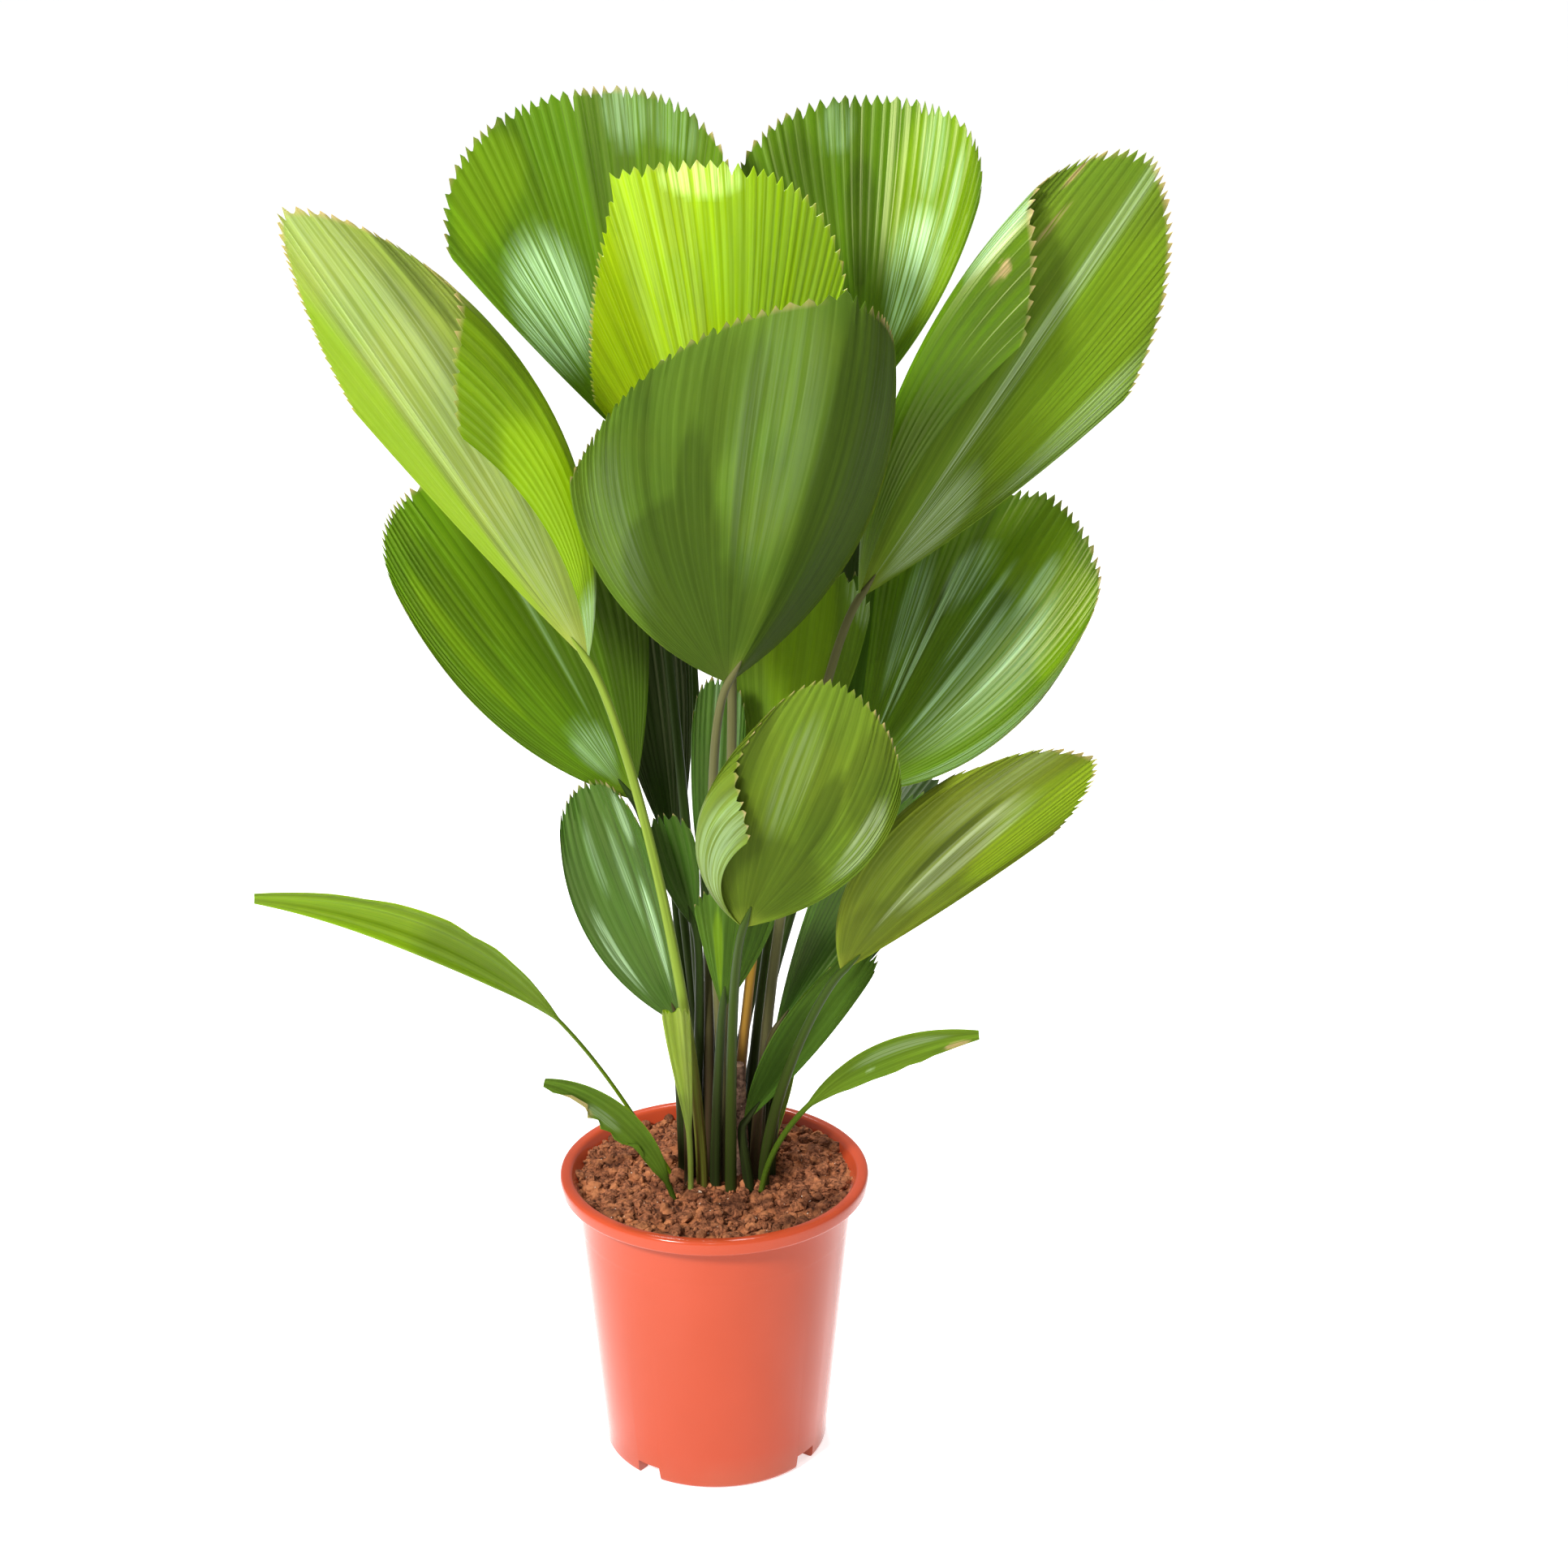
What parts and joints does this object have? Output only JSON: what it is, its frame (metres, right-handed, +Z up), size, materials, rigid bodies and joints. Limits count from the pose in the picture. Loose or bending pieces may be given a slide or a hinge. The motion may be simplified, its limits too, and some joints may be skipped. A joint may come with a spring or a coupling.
{
  "type": "potted licuala palm",
  "caption": "Potted fan palm: pleated leaves with a toothed edge on thin stalks that rise from soil in a glossy coral nursery pot.",
  "frame": {"origin": "centre of the pot's flat underside, on the ground", "axes": "+Z up, -Y toward the viewer of the picture, +X to that viewer's right"},
  "size_m": [0.6615, 0.5733, 1.046],
  "materials": {
    "pot": "glossy coral plastic",
    "soil": "rough, moist coir",
    "stem": "fibrous, matte",
    "stalk_green": "satin",
    "leaf_green": "satin, pleated",
    "leaf_deep": "waxy, pleated",
    "leaf_lime": "satin, lit through"
  },
  "bodies": {
    "root": {"pot": "pot", "soil": "soil", "stem": "stem", "stalk_back_left_top": "stalk_green", "leaf_back_left_top": "leaf_green", "stalk_back_right_top": "stalk_green", "leaf_back_right_top": "leaf_green", "stalk_young_centre": "stalk_green", "leaf_young_centre": "leaf_lime", "stalk_front_top": "stalk_green", "leaf_front_top": "leaf_green", "stalk_left_high": "stalk_green", "leaf_left_high": "leaf_lime", "stalk_left_middle": "stalk_green", "leaf_left_middle": "leaf_green", "stalk_right_high": "stalk_green", "leaf_right_high": "leaf_green", "stalk_right_middle": "stalk_green", "leaf_right_middle": "leaf_green", "stalk_front_low": "stalk_green", "leaf_front_low": "leaf_green", "stalk_front_right_low": "stalk_green", "leaf_front_right_low": "leaf_lime", "stalk_left_low": "stalk_green", "leaf_left_low": "leaf_deep", "stalk_inner_left": "stalk_green", "leaf_inner_left": "leaf_deep", "stalk_inner_left_low": "stalk_green", "leaf_inner_left_low": "leaf_deep", "stalk_inner_low": "stalk_green", "leaf_inner_low": "leaf_green", "stalk_inner_centre": "stalk_green", "leaf_inner_centre": "leaf_green", "stalk_inner_right": "stalk_green", "leaf_inner_right": "leaf_deep", "stalk_right_low": "stalk_green", "leaf_right_low": "leaf_deep", "stalk_right_lowest": "stalk_green", "leaf_right_lowest": "leaf_deep", "stalk_back_left": "stalk_green", "leaf_back_left": "leaf_green", "stalk_back_right": "stalk_green", "leaf_back_right": "leaf_green", "stalk_back_centre": "stalk_green", "leaf_back_centre": "leaf_green", "stalk_back_high": "stalk_green", "leaf_back_high": "leaf_green", "stalk_back_left_low": "stalk_green", "leaf_back_left_low": "leaf_deep", "stalk_back_right_low": "stalk_green", "leaf_back_right_low": "leaf_deep", "shoot_far_left": "leaf_lime", "shoot_near_left": "leaf_green", "shoot_upright": "leaf_lime", "shoot_far_right": "leaf_green", "shoot_yellow": "leaf_lime"}
  },
  "joints": []
}
